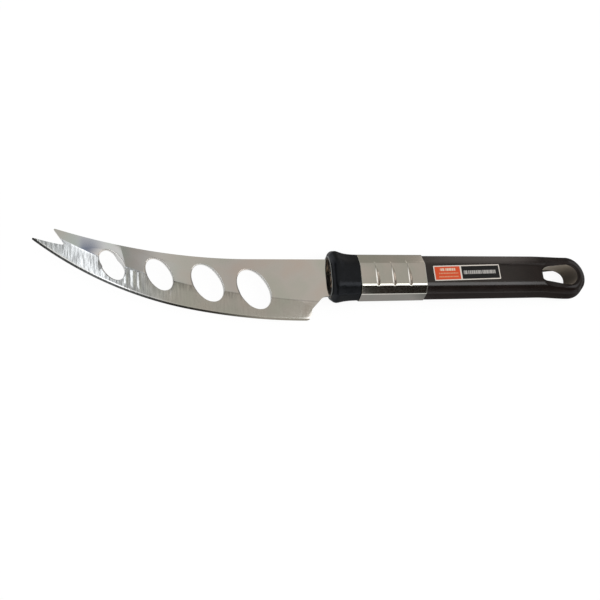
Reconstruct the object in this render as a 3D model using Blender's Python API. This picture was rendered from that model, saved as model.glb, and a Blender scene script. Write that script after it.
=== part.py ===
# Cheese knife: a pierced, fork-tipped blade in a collared, steel-sleeved plastic handle.
# The knife lies on its side. +X runs from the tip to the tail, +Y to the spine, +Z up.
# Lengths along the knife are first measured from the front face of the collar.
import bpy
import bmesh
from math import asin, atan2, cos, exp, pi, radians, sin, sqrt, tan
from mathutils import Vector

mm = 0.001

# Blade
blade_length = 127.8 * mm
blade_thickness = 1.6 * mm
spine_height = 8.9 * mm
spine_straight = 35.6 * mm
spine_radius = 262.0 * mm
edge_depth = 19.9 * mm
edge_low_setback = 5.0 * mm
edge_heel_radius = 267.0 * mm
edge_heel_run = 58.0 * mm
heel_setback = 9.1 * mm
heel_radius = 2.8 * mm
choil_height = 5.0 * mm
choil_lean = 0.6 * mm
choil_corner_radius = 1.4 * mm
neck_depth = 8.8 * mm
neck_setback = 2.4 * mm
neck_radius = 4.0 * mm

# Forked tip
lower_prong_drop = 7.0 * mm
upper_prong_setback = 9.3 * mm
notch_depth = 14.2 * mm
notch_drop = 5.8 * mm
notch_bend = 3.5 * mm
notch_sag = 1.6 * mm
notch_radius = 0.6 * mm
prong_tip_radius = 0.4 * mm

# Ground faces
grind_width_heel = 8.6 * mm
grind_width_middle = 10.4 * mm
grind_width_tip = 6.4 * mm
grind_end_width = 6.0 * mm
grind_end_run = 5.5 * mm
edge_bevel_width = 0.85 * mm
edge_bevel_thickness = 0.8 * mm
edge_thickness = 0.12 * mm

# Oval holes: share of the way from the first to the last, drop below the spine, length and width
first_hole_to_notch = 18.8 * mm
last_hole_to_collar = 34.6 * mm
hole_lean = radians(31.0)
hole_round = 0.4 * mm
oval_holes = (
    (0.0, 9.5 * mm, 14.8 * mm, 8.9 * mm),
    (0.32, 9.9 * mm, 15.6 * mm, 9.8 * mm),
    (0.66, 11.5 * mm, 18.4 * mm, 12.2 * mm),
    (1.0, 13.9 * mm, 19.8 * mm, 13.3 * mm),
)

# Tang
shoulder_depth = 3.0 * mm
tang_width = 10.0 * mm
tang_length = 78.0 * mm
tang_end_radius = 2.0 * mm

# Handle section, shared by collar, sleeve and grip
grip_width = 21.9 * mm
grip_height = 12.6 * mm
grip_flat = 10.6 * mm
facet_drop = 2.7 * mm
facet_inset = 1.3 * mm
flat_edge_radius = 4.0 * mm
facet_edge_radius = 3.0 * mm

# Handle along its length
handle_length = 141.2 * mm
sleeve_start = 14.6 * mm
sleeve_length = 33.1 * mm
sleeve_wall = 0.6 * mm
sleeve_step = 0.55 * mm
sleeve_rim_round = 0.15 * mm
core_setback = 9.9 * mm
core_overlap = 6.0 * mm
tail_radius = 11.05 * mm
tail_offset = -0.8 * mm
tail_swell_run = 19.0 * mm
tail_height = 11.4 * mm
tail_facet_share = 0.6

# Hanging hole
hang_hole_setback = 17.5 * mm
hang_hole_length = 20.0 * mm
hang_hole_width = 8.4 * mm
hang_hole_offset = -0.5 * mm
hang_hole_round = 1.1 * mm

# Collar
collar_peak_width = 25.4 * mm
collar_peak_height = 15.4 * mm
collar_neck_width = 21.9 * mm
collar_neck_height = 13.0 * mm
collar_lip_length = 3.8 * mm
collar_lip_drop = 2.8 * mm
collar_offset = 0.6 * mm
collar_flare_run = 2.5 * mm
collar_spigot_length = 9.2 * mm

# Pressed creases, centred along the sleeve
crease_pitch = 8.2 * mm
crease_count = 3
crease_length = 11.6 * mm
crease_width = 1.9 * mm
crease_depth = 0.3 * mm
crease_tool_lift = 0.6 * mm

# Label
label_setback = 4.3 * mm
label_length = 36.1 * mm
label_width = 7.8 * mm
label_offset = 0.65 * mm
label_corner = 1.0 * mm
label_thickness = 0.12 * mm

# Clearances, and how far a cutter runs past what it cuts
fit_gap = 0.3 * mm
label_gap = 0.05 * mm
cut_reach = 1.5 * mm

sleeve_end = sleeve_start + sleeve_length
core_start = sleeve_start + core_setback
collar_spigot_end = sleeve_start + collar_spigot_length
handle_half_height = grip_height / 2


def clear_scene():
    for item in list(bpy.data.objects):
        bpy.data.objects.remove(item, do_unlink=True)


def principled(name, colour, roughness, metallic):
    material = bpy.data.materials.new(name)
    material.use_nodes = True
    shader = material.node_tree.nodes["Principled BSDF"]
    shader.inputs["Base Color"].default_value = (*colour, 1.0)
    shader.inputs["Roughness"].default_value = roughness
    shader.inputs["Metallic"].default_value = metallic
    return material


def add_object(name, mesh_builder, material=None):
    mesh = bpy.data.meshes.new(name)
    bmesh.ops.recalc_face_normals(mesh_builder, faces=mesh_builder.faces)
    mesh_builder.to_mesh(mesh)
    mesh_builder.free()
    item = bpy.data.objects.new(name, mesh)
    bpy.context.scene.collection.objects.link(item)
    if material:
        mesh.materials.append(material)
    return item


def add_cutter(name, mesh_builder):
    item = add_object(name, mesh_builder)
    item.hide_render = True
    item.display_type = "WIRE"
    return item


def combine(target, tool, operation):
    step = target.modifiers.new(tool.name, "BOOLEAN")
    step.operation = operation
    step.solver = "EXACT"
    step.object = tool


def loft(rings):
    # Skins rings of equal counts and closes both ends.
    builder = bmesh.new()
    rows = [[builder.verts.new(point) for point in ring] for ring in rings]
    for lower, upper in zip(rows, rows[1:]):
        for i in range(len(lower)):
            j = (i + 1) % len(lower)
            builder.faces.new((lower[i], lower[j], upper[j], upper[i]))
    builder.faces.new(rows[0])
    builder.faces.new(rows[-1])
    return builder


def prism(outline, bottom, top):
    return loft([[(x, y, z) for x, y in outline] for z in (bottom, top)])


def box(x_range, y_range, z_range):
    x0, x1 = x_range
    y0, y1 = y_range
    return prism([(x0, y0), (x1, y0), (x1, y1), (x0, y1)], *z_range)


def arc(centre, radius, start, end, count):
    steps = (start + (end - start) * i / count for i in range(count + 1))
    return [Vector((centre[0] + radius * cos(a), centre[1] + radius * sin(a))) for a in steps]


def rounded(corners, step_angle=radians(12.0)):
    # Outline through (point, radius) corners, each turned by an arc that its two sides have room for.
    outline = []
    count = len(corners)
    for i, (corner, radius) in enumerate(corners):
        corner = Vector(corner)
        if radius == 0:
            outline.append(corner)
            continue
        sides = []
        room = []
        for neighbour, neighbour_radius in (corners[i - 1], corners[(i + 1) % count]):
            side = Vector(neighbour) - corner
            room.append(side.length * (0.48 if neighbour_radius else 0.95))
            sides.append(side.normalized())
        before, after = sides
        half = before.angle(after) / 2
        reach = min(radius / tan(half), *room)
        middle = corner + (before + after).normalized() * (reach / cos(half))
        first = corner + before * reach - middle
        last = corner + after * reach - middle
        radius = first.length
        start = atan2(first.y, first.x)
        turn = (atan2(last.y, last.x) - start + pi) % (2 * pi) - pi
        outline += arc(middle, radius, start, start + turn, max(2, round(abs(turn) / step_angle)))
    return outline


def curve_points(start, control, end, count):
    # Quadratic curve without its two ends.
    points = []
    for i in range(1, count):
        t = i / count
        points.append(start * (1 - t) ** 2 + control * 2 * t * (1 - t) + end * t ** 2)
    return points


def spine_at(distance):
    # Height of the spine's line, at a distance ahead of the collar.
    ahead = max(0.0, distance - spine_straight)
    return spine_height + spine_radius - sqrt(spine_radius ** 2 - ahead ** 2)


def lower_prong_tip():
    return Vector((-blade_length, spine_at(blade_length) - lower_prong_drop))


def edge_station(along):
    # Point and inward normal of the cutting edge, at a distance ahead of its lowest point:
    # a heel arc, then the arc that leaves it smoothly and ends at the lower prong's tip.
    centre = Vector((-edge_low_setback, edge_heel_radius - edge_depth))
    radius = edge_heel_radius
    angle = asin(min(along, edge_heel_run) / edge_heel_radius)
    if along > edge_heel_run:
        inward = Vector((sin(angle), cos(angle)))
        joint = centre - inward * radius
        to_tip = lower_prong_tip() - joint
        radius = to_tip.length_squared / (2 * to_tip.dot(inward))
        centre = joint + inward * radius
        angle = asin(sin(angle) + (along - edge_heel_run) / radius)
    inward = Vector((sin(angle), cos(angle)))
    return centre - inward * radius, inward


def blade_outline():
    tip_run = blade_length - edge_low_setback
    heel_run = heel_setback - edge_low_setback
    heel = edge_station(heel_run)[0]
    lower_tip = lower_prong_tip()
    spine_centre = Vector((-spine_straight, spine_height + spine_radius))
    spine_turn = asin((blade_length - upper_prong_setback - spine_straight) / spine_radius)
    spine_end = -pi / 2 - spine_turn
    spine = arc(spine_centre, spine_radius, spine_end, -pi / 2, 24)
    notch_distance = blade_length - notch_depth
    notch = Vector((-notch_distance, spine_at(notch_distance) - notch_drop))
    sag_point = (lower_tip + notch) / 2 + Vector((notch_bend, -notch_sag))
    inner_edge = curve_points(notch, sag_point, lower_tip, 8)
    edge_count = 40
    edge = [edge_station(tip_run + (heel_run - tip_run) * i / edge_count)[0] for i in range(1, edge_count)]

    corners = [(spine[0], prong_tip_radius), (notch, notch_radius)]
    corners += [(point, 0) for point in inner_edge]
    corners += [(lower_tip, prong_tip_radius)]
    corners += [(point, 0) for point in edge]
    corners += [
        (heel, heel_radius),
        ((choil_lean - heel_setback, heel.y + choil_height), choil_corner_radius),
        ((-neck_setback, -neck_depth), neck_radius),
        ((shoulder_depth, -neck_depth), 0),
        ((shoulder_depth, -tang_width / 2), 0),
        ((tang_length, -tang_width / 2), tang_end_radius),
        ((tang_length, tang_width / 2), tang_end_radius),
        ((shoulder_depth, tang_width / 2), 0),
        ((shoulder_depth, spine_height), 0),
    ]
    corners += [(point, 0) for point in reversed(spine[1:])]
    return rounded(corners)


def grind_width(along):
    # Width of the ground face: widest at mid-blade, run out short of the heel's back.
    share = along / (blade_length - edge_low_setback)
    heel_side = 1 - 3 * share + 2 * share * share
    middle = 4 * share * (1 - share)
    tip_side = 2 * share * share - share
    width = grind_width_heel * heel_side + grind_width_middle * middle + grind_width_tip * tip_side
    past_heel = along - heel_setback + edge_low_setback
    if past_heel < grind_end_run:
        width -= (grind_width_heel - grind_end_width) * (1 - past_heel / grind_end_run)
    return width


def grinding_cutter(side):
    # Wedge swept along the edge: a long shallow face, then the narrow cutting bevel.
    half = blade_thickness / 2
    bevel_half = edge_bevel_thickness / 2
    edge_half = edge_thickness / 2
    top = 4 * half
    rings = []
    station_count = 48
    start = heel_setback - edge_low_setback - 4 * cut_reach
    end = blade_length - edge_low_setback + 2 * cut_reach
    for i in range(station_count + 1):
        along = start + (end - start) * i / station_count
        edge, inward = edge_station(along)
        width = grind_width(along)
        face_slope = (half - bevel_half) / (width - edge_bevel_width)
        bevel_slope = (bevel_half - edge_half) / edge_bevel_width
        section = (
            (width + cut_reach, half + face_slope * cut_reach),
            (edge_bevel_width, bevel_half),
            (-cut_reach, edge_half - bevel_slope * cut_reach),
            (-cut_reach, top),
            (width + cut_reach, top),
        )
        rings.append([(*(edge + inward * d), side * z) for d, z in section])
    return loft(rings)


def round_steps(radius, count):
    # Steps down a rounded rim: how far in from its outer line, and how far below the face.
    turns = [pi / 2 * i / count for i in range(1, count + 1)]
    return [(radius * sin(a), radius * (1 - cos(a))) for a in turns]


def spool(outline_at, half_height, rim, steps):
    # Cutter for a through hole whose rims open out by a round.
    levels = [(-half_height - cut_reach, rim), (-half_height, rim)]
    levels += [(depth - half_height, rim - inward) for inward, depth in steps]
    levels += [(half_height - depth, rim - inward) for inward, depth in reversed(steps)]
    levels += [(half_height, rim), (half_height + cut_reach, rim)]
    return loft([[(x, y, z) for x, y in outline_at(grow)] for z, grow in levels])


def oval_at(centre, length, width, lean, count, squareness=1.0):
    def outline_at(grow):
        points = []
        for i in range(count):
            a = 2 * pi * i / count
            c = abs(cos(a)) ** squareness * (1 if cos(a) >= 0 else -1)
            s = abs(sin(a)) ** squareness * (1 if sin(a) >= 0 else -1)
            u = (length / 2 + grow) * c
            v = (width / 2 + grow) * s
            points.append((centre[0] + u * cos(lean) - v * sin(lean),
                           centre[1] + u * sin(lean) + v * cos(lean)))
        return points
    return outline_at


def make_blade(material):
    half = blade_thickness / 2
    blade = add_object("blade", prism(blade_outline(), -half, half), material)
    for side, label in ((1, "front"), (-1, "back")):
        combine(blade, add_cutter(f"grind_{label}", grinding_cutter(side)), "DIFFERENCE")
    first = blade_length - notch_depth - first_hole_to_notch
    for number, (share, drop, length, width) in enumerate(oval_holes, 1):
        distance = first + (last_hole_to_collar - first) * share
        centre = (-distance, spine_at(distance) - drop)
        outline_at = oval_at(centre, length, width, pi / 2 + hole_lean, 48)
        cutter = spool(outline_at, half, hole_round, round_steps(hole_round, 3))
        combine(blade, add_cutter(f"oval_{number}", cutter), "DIFFERENCE")
    return blade


def side_profile():
    # Half of the section as (inset from the side, height), from the lower flat to the upper flat.
    flat_inset = (grip_width - grip_flat) / 2
    far = (grip_width / 2, handle_half_height)
    corners = [
        ((far[0], -far[1]), 0),
        ((flat_inset, -handle_half_height), flat_edge_radius),
        ((facet_inset, facet_drop - handle_half_height), facet_edge_radius),
        ((0, 0), 0),
        ((facet_inset, handle_half_height - facet_drop), facet_edge_radius),
        ((flat_inset, handle_half_height), flat_edge_radius),
        (far, 0),
    ]
    return rounded(corners, radians(9.0))[1:-1]


def section(along, width, height, centre=0.0):
    # The handle's section at a station, stretched to a width and a height.
    profile = side_profile()
    wide = width / grip_width
    high = height / grip_height
    ring = [(along, centre + (grip_width / 2 - inset) * wide, z * high) for inset, z in profile]
    ring += [(along, centre - (grip_width / 2 - inset) * wide, z * high)
             for inset, z in reversed(profile)]
    return ring


def smooth_step(value):
    value = min(max(value, 0.0), 1.0)
    return value * value * (3 - 2 * value)


def grip_stations():
    # Plan of the grip as (point, outward normal), round the tail from spine side to belly side.
    start = sleeve_end + fit_gap
    tail_centre = handle_length - tail_radius
    swell_start = tail_centre - tail_swell_run
    half = grip_width / 2
    xs = [start + (swell_start - start) * i / 5 for i in range(5)]
    xs += [swell_start + tail_swell_run * i / 8 for i in range(8)]
    middle = Vector((tail_centre, tail_offset))
    stations = []
    for x in xs:
        blend = smooth_step((x - swell_start) / tail_swell_run)
        stations.append((Vector((x, half + (tail_radius + tail_offset - half) * blend)), Vector((0, 1))))
    for normal in arc((0, 0), 1.0, pi / 2, -pi / 2, 28):
        stations.append((middle + normal * tail_radius, normal))
    for x in reversed(xs):
        blend = smooth_step((x - swell_start) / tail_swell_run)
        stations.append((Vector((x, (half + tail_offset - tail_radius) * blend - half)), Vector((0, -1))))
    return stations


def grip_body():
    # The grip's rings are its plan, drawn in by the profile's inset at each height.
    stations = grip_stations()
    tail_centre = handle_length - tail_radius
    swell_start = tail_centre - tail_swell_run
    rings = []
    for inset, z in side_profile():
        ring = []
        for point, normal in stations:
            blend = smooth_step((point.x - swell_start) / tail_swell_run)
            reach = inset * (1 - (1 - tail_facet_share) * blend)
            high = 1 + (tail_height / grip_height - 1) * blend
            spot = point - normal * reach
            ring.append((spot.x, spot.y, z * high))
        rings.append(ring)
    return loft(rings)


def core_size():
    # The core and the collar's spigot fill the sleeve with one clearance all round.
    shrink = 2 * (sleeve_wall + fit_gap - sleeve_step)
    return grip_width - shrink, grip_height - shrink


def make_handle(material):
    width, height = core_size()
    core = loft([section(x, width, height) for x in (core_start, sleeve_end + core_overlap)])
    handle = add_object("handle", grip_body(), material)
    combine(handle, add_cutter("handle_core", core), "UNION")

    centre = (handle_length - hang_hole_setback, hang_hole_offset)
    outline_at = oval_at(centre, hang_hole_length, hang_hole_width, 0.0, 48, 0.85)
    hole = spool(outline_at, tail_height / 2, hang_hole_round, round_steps(hang_hole_round, 6))
    combine(handle, add_cutter("hang_hole", hole), "DIFFERENCE")

    half_slot = tang_width / 2 + fit_gap
    half_gap = blade_thickness / 2 + fit_gap
    slot = box((core_start - cut_reach, tang_length + fit_gap), (-half_slot, half_slot),
               (-half_gap, half_gap))
    combine(handle, add_cutter("tang_slot", slot), "DIFFERENCE")
    return handle


def collar_sizes():
    # Stations of the flare: a rounded front lip, then a hollow run down to the sleeve.
    end = sleeve_start - fit_gap
    sizes = []
    for i in range(9):
        a = pi / 2 * i / 8
        drop = 2 * collar_lip_drop * (1 - sin(a))
        x = collar_lip_length * (1 - cos(a))
        sizes.append((x, collar_peak_width - drop, collar_peak_height - drop))
    for i in range(1, 13):
        x = collar_lip_length + (end - collar_lip_length) * (i / 12) ** 1.3
        run = (x - collar_lip_length) / collar_flare_run
        fade = exp(-run * run / (1 + run))
        width = collar_neck_width + (collar_peak_width - collar_neck_width) * fade
        height = collar_neck_height + (collar_peak_height - collar_neck_height) * fade
        sizes.append((x, width, height))
    return sizes


def make_collar(material):
    sizes = collar_sizes()
    width, height = core_size()
    back = sizes[-1][0]
    rings = [section(*size, collar_offset) for size in sizes]
    rings += [section(back, width, height), section(collar_spigot_end, width, height)]
    collar = add_object("collar", loft(rings), material)

    half_gap = blade_thickness / 2 + fit_gap
    mouth = box((-cut_reach, shoulder_depth + fit_gap), (-neck_depth - fit_gap, spine_height + fit_gap),
                (-half_gap, half_gap))
    combine(collar, add_cutter("collar_mouth", mouth), "DIFFERENCE")
    half_slot = tang_width / 2 + fit_gap
    passage = box((shoulder_depth, collar_spigot_end + cut_reach), (-half_slot, half_slot),
                  (-half_gap, half_gap))
    combine(collar, add_cutter("collar_passage", passage), "DIFFERENCE")
    return collar


def sleeve_tube():
    # A thin tube: outer skin, back rim, inner skin and front rim, skinned as one closed band.
    outer = (grip_width + 2 * sleeve_step, grip_height + 2 * sleeve_step)
    inner = (outer[0] - 2 * sleeve_wall, outer[1] - 2 * sleeve_wall)
    path = [
        (sleeve_start + sleeve_rim_round, outer, 0.0), (sleeve_end - sleeve_rim_round, outer, 0.0),
        (sleeve_end, outer, sleeve_rim_round), (sleeve_end, inner, 0.0),
        (sleeve_start, inner, 0.0), (sleeve_start, outer, sleeve_rim_round),
    ]
    builder = bmesh.new()
    rows = []
    for x, (width, height), cut in path:
        ring = section(x, width - 2 * cut, height - 2 * cut)
        rows.append([builder.verts.new(point) for point in ring])
    for k, row in enumerate(rows):
        following = rows[(k + 1) % len(rows)]
        for i in range(len(row)):
            j = (i + 1) % len(row)
            builder.faces.new((row[i], row[j], following[j], following[i]))
    return builder


def crease_tool(x, side):
    # Boat-shaped punch whose keel dents the flat by the crease depth.
    face = side * (handle_half_height + sleeve_step)
    keel = crease_depth + crease_tool_lift
    top = face + side * crease_tool_lift
    rings = []
    for i in range(13):
        t = -1 + 2 * i / 12
        y = t * crease_length / 2 * sqrt(keel / crease_depth)
        fall = keel * max(1 - t * t, 0.02)
        spread = crease_width / 2 * fall / crease_depth
        rings.append([(x - spread, y, top), (x, y, top - side * fall), (x + spread, y, top)])
    return loft(rings)


def make_sleeve(material):
    sleeve = add_object("sleeve", sleeve_tube(), material)
    for number in range(crease_count):
        from_middle = number - (crease_count - 1) / 2
        x = (sleeve_start + sleeve_end) / 2 + from_middle * crease_pitch
        for side, label in ((1, "front"), (-1, "back")):
            tool = add_cutter(f"crease_{label}_{number + 1}", crease_tool(x, side))
            combine(sleeve, tool, "DIFFERENCE")
    return sleeve


def make_label(material):
    bottom = handle_half_height + label_gap
    y0 = label_offset - label_width / 2
    y1 = label_offset + label_width / 2
    x0 = sleeve_end + label_setback
    x1 = x0 + label_length
    corners = [((x, y), label_corner) for x, y in ((x0, y0), (x1, y0), (x1, y1), (x0, y1))]
    return add_object("label", prism(rounded(corners), bottom, bottom + label_thickness), material)


def set_origin(pieces):
    # Origin under the middle of the knife: its length, its blade's width, the collar's underside.
    outline = blade_outline()
    tip = min(point.x for point in outline)
    low = min(point.y for point in outline)
    high = max(point.y for point in outline)
    shift = Vector((-(tip + handle_length) / 2, -(low + high) / 2, collar_peak_height / 2))
    frame = bpy.data.objects.new("knife_frame", None)
    bpy.context.scene.collection.objects.link(frame)
    frame.location = shift
    for item in bpy.data.objects:
        if item.type == "MESH":
            item.parent = frame
    for piece in pieces:
        piece.data.shade_smooth()
        piece.data.set_sharp_from_angle(angle=radians(30.0))


def main():
    clear_scene()
    steel = principled("blade_steel", (0.38, 0.36, 0.33), 0.28, 1.0)
    sleeve_steel = principled("sleeve_steel", (0.33, 0.32, 0.29), 0.32, 1.0)
    collar_plastic = principled("collar_plastic", (0.018, 0.018, 0.022), 0.4, 0.0)
    handle_plastic = principled("handle_plastic", (0.04, 0.03, 0.027), 0.42, 0.0)
    label_film = principled("label_film", (0.6, 0.1, 0.03), 0.5, 0.0)
    pieces = [
        make_blade(steel),
        make_collar(collar_plastic),
        make_sleeve(sleeve_steel),
        make_handle(handle_plastic),
        make_label(label_film),
    ]
    set_origin(pieces)


main()
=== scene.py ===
from functools import partial
from math import asin, atan2, cos, exp, pi, radians, sin, tan

import bmesh
import bpy
from mathutils import Matrix, Vector


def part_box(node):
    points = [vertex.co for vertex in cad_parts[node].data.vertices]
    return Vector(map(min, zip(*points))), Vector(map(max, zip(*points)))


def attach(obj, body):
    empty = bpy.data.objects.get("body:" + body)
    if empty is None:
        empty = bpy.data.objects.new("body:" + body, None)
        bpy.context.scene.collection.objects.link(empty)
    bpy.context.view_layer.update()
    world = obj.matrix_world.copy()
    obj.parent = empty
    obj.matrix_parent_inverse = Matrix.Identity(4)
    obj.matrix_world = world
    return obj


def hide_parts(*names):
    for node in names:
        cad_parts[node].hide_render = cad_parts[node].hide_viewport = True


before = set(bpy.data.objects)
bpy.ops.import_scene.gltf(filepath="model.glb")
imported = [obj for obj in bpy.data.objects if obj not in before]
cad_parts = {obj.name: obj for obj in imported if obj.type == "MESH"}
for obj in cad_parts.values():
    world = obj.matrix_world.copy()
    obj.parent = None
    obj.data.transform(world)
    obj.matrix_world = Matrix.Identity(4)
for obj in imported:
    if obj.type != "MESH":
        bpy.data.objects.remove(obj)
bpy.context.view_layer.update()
mm = 0.001
bpy.context.scene.view_settings.view_transform = "Standard"

# Everything below is written in millimetres from the front face of the collar, on the
# blade's middle plane and the sleeve's axis, and moved to the frame with knifeShift.
collarLow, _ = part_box("collar")
sleeveLow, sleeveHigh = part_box("sleeve")
_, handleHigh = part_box("handle")
labelLow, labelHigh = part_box("label")
knifeShift = Vector((collarLow.x, (sleeveLow.y + sleeveHigh.y) / 2, (sleeveLow.z + sleeveHigh.z) / 2))
print("frame loaded, shift", [round(v / mm, 2) for v in knifeShift])


def colour(hexCode):
    # sRGB hex to linear RGBA
    parts = [int(hexCode[i:i + 2], 16) / 255 for i in (1, 3, 5)]
    return (*[c / 12.92 if c <= 0.04045 else ((c + 0.055) / 1.055) ** 2.4 for c in parts], 1.0)


def fill(node, inputs):
    # links or sets inputs, given by number or name
    for key, value in inputs.items():
        for one in value if isinstance(value, list) else [value]:
            if isinstance(one, bpy.types.NodeSocket):
                node.id_data.links.new(one, node.inputs[key])
            else:
                node.inputs[key].default_value = one


def addNode(tree, kind, *values, out=0, **settings):
    # adds a node, sets its properties, fills its inputs in order or by name, returns one output
    family = "ShaderNode" if hasattr(bpy.types, "ShaderNode" + kind) else "GeometryNode"
    made = tree.nodes.new(family + kind)
    for name, value in settings.items():
        setattr(made, name, value)
    for number, value in enumerate(values):
        fill(made, value if isinstance(value, dict) else {number: value})
    return made.outputs[out] if made.outputs else None


def product(add, first, *others):
    for other in others:
        first = add("Math", first, other, operation="MULTIPLY")
    return first


def within(add, value, rise, fall):
    # 1 between two slopes, each given by the places where it is 0 and 1
    return product(add, add("MapRange", value, *rise), add("MapRange", value, *fall))


def paintOver(add, base, *layers):
    # lays (share, colour) layers over a colour
    for share, ink in layers:
        ink = colour(ink) if isinstance(ink, str) else ink
        base = add("Mix", {0: share, 6: base, 7: ink}, out=2, data_type="RGBA")
    return base


def ramp(add, value, stops):
    # colour ramp from (position, hex) stops
    socket = add("ValToRGB", value)
    elements = socket.node.color_ramp.elements
    while len(elements) < len(stops):
        elements.new(0.5)
    for element, (position, hexCode) in zip(elements, stops):
        element.position = position
        element.color = colour(hexCode)
    return socket


def setCurve(socket, points):
    # fills a Float Curve node with points
    mapping = socket.node.mapping
    curve = mapping.curves[0]
    while len(curve.points) < len(points):
        curve.points.new(0.5, 0.5)
    for point, place in zip(curve.points, points):
        point.location = place
    mapping.update()


def newMaterial(name):
    material = bpy.data.materials.new(name)
    material.use_nodes = True
    tree = material.node_tree
    return material, partial(addNode, tree), tree.nodes["Principled BSDF"]


def bareTree(owner):
    # empties the node tree of a material or the world
    owner.use_nodes = True
    owner.node_tree.nodes.clear()
    return partial(addNode, owner.node_tree)


def lengths(sizes, *names):
    return {name: sizes[name] * mm for name in names}


def newTree(name, inputs):
    # geometry node tree with named inputs
    tree = bpy.data.node_groups.new(name, "GeometryNodeTree")
    tree.interface.new_socket("Geometry", in_out="OUTPUT", socket_type="NodeSocketGeometry")
    for label, value in inputs.items():
        kind = "NodeSocketInt" if isinstance(value, int) else "NodeSocketFloat"
        if isinstance(value, bpy.types.Material):
            kind = "NodeSocketMaterial"
        tree.interface.new_socket(label, in_out="INPUT", socket_type=kind)
    given = tree.nodes.new("NodeGroupInput").outputs
    return tree, partial(addNode, tree), given, tree.nodes.new("NodeGroupOutput")


def toScene(name, data):
    item = bpy.data.objects.new(name, data)
    bpy.context.scene.collection.objects.link(item)
    return item


def plainCopy(name, source):
    # mesh of the evaluated object as a new piece, and the source goes
    bpy.context.view_layer.update()
    evaluated = source.evaluated_get(bpy.context.evaluated_depsgraph_get())
    mesh = bpy.data.meshes.new_from_object(evaluated)
    bpy.data.objects.remove(source, do_unlink=True)
    mesh.name = name
    return toScene(name, mesh)


def runTree(name, tree, values):
    # puts the tree on an empty mesh, sets its inputs by identifier and keeps the plain result
    holder = toScene(name + "Holder", bpy.data.meshes.new(name + "Holder"))
    modifier = holder.modifiers.new(name, "NODES")
    modifier.node_group = tree
    for item in tree.interface.items_tree:
        if item.in_out == "INPUT":
            modifier[item.identifier] = values[item.name]
    return plainCopy(name, holder)


def rework(mesh, reach=0.0, mend=None):
    # merges points closer than reach, mends, and turns all faces outwards
    work = bmesh.new()
    work.from_mesh(mesh)
    if reach:
        bmesh.ops.remove_doubles(work, verts=work.verts, dist=reach)
    if mend:
        mend(work)
    bmesh.ops.recalc_face_normals(work, faces=work.faces)
    work.to_mesh(mesh)
    work.free()


def dress(piece, node, material, sharp=None):
    # one CAD node's place, body and finish; edges over the sharp angle stay crisp
    if sharp:
        piece.data.shade_smooth()
        piece.data.set_sharp_from_angle(angle=radians(sharp))
    piece.data.materials.clear()
    piece.data.materials.append(material)
    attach(piece, "root")
    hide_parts(node)
    print(node, len(piece.data.polygons), "faces")


def easeInOut(value):
    value = min(max(value, 0.0), 1.0)
    return value * value * (3 - 2 * value)


camera = {
    "place": (-0.0947588, -0.0743664, 0.2617803),
    "pan": 15.724402,   # degrees, to the left of straight above
    "pitch": 13.943252,   # degrees, towards the edge side
    "roll": -0.932455,
    "lens": 36.0,   # as long as the sensor is wide
}


def makeCamera():
    pan, pitch, roll = (radians(camera[k]) for k in ("pan", "pitch", "roll"))
    right = Vector((cos(pan), -sin(pan) * sin(pitch), sin(pan) * cos(pitch)))
    up = Vector((0, cos(pitch), sin(pitch)))
    back = Vector((-sin(pan), -cos(pan) * sin(pitch), cos(pan) * cos(pitch)))
    right, up = right * cos(roll) + up * sin(roll), up * cos(roll) - right * sin(roll)
    data = bpy.data.cameras.new("camera")
    data.lens = camera["lens"]
    data.sensor_width = camera["lens"]
    data.clip_start = 0.005
    item = toScene("camera", data)
    turned = Matrix((right, up, back)).transposed().to_4x4()
    item.matrix_world = Matrix.Translation(camera["place"]) @ turned
    bpy.context.scene.camera = item


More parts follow.
